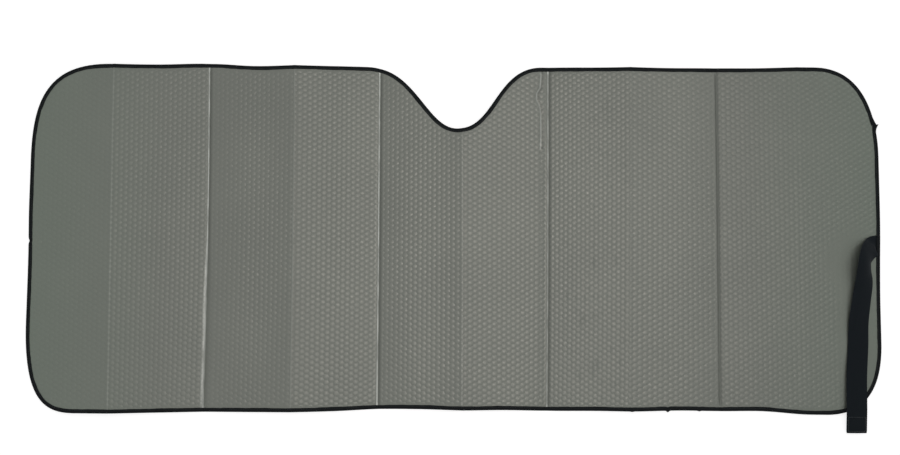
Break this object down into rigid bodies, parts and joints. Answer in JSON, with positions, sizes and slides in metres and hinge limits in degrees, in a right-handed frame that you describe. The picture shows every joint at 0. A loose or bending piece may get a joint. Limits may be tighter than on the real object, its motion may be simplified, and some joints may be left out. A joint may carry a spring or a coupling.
{
  "type": "windscreen sunshade",
  "caption": "Wide accordion sunshade of metallised bubble foil with rounded corners, a bell-shaped mirror notch, black edge tape and an elastic strap, lying open.",
  "frame": {"origin": "on the floor, under the middle of the outline's box, strap included", "axes": "+X along the width to the strap's end, +Y up the height to the mirror notch, +Z off the floor, out of the face that the picture shows"},
  "size_m": [1.475, 0.6396, 0.03],
  "materials": {
    "bubble_foil": "matt pearl-grey metallised film over bubbles",
    "binding_tape": "black non-woven tape",
    "elastic": "black woven elastic, brushed face",
    "hook_tape": "black hook tape"
  },
  "bodies": {
    "root": {"shade_sheet": "bubble_foil", "edge_binding": "binding_tape", "storage_strap": "elastic", "hook_patch": "hook_tape"}
  },
  "joints": []
}
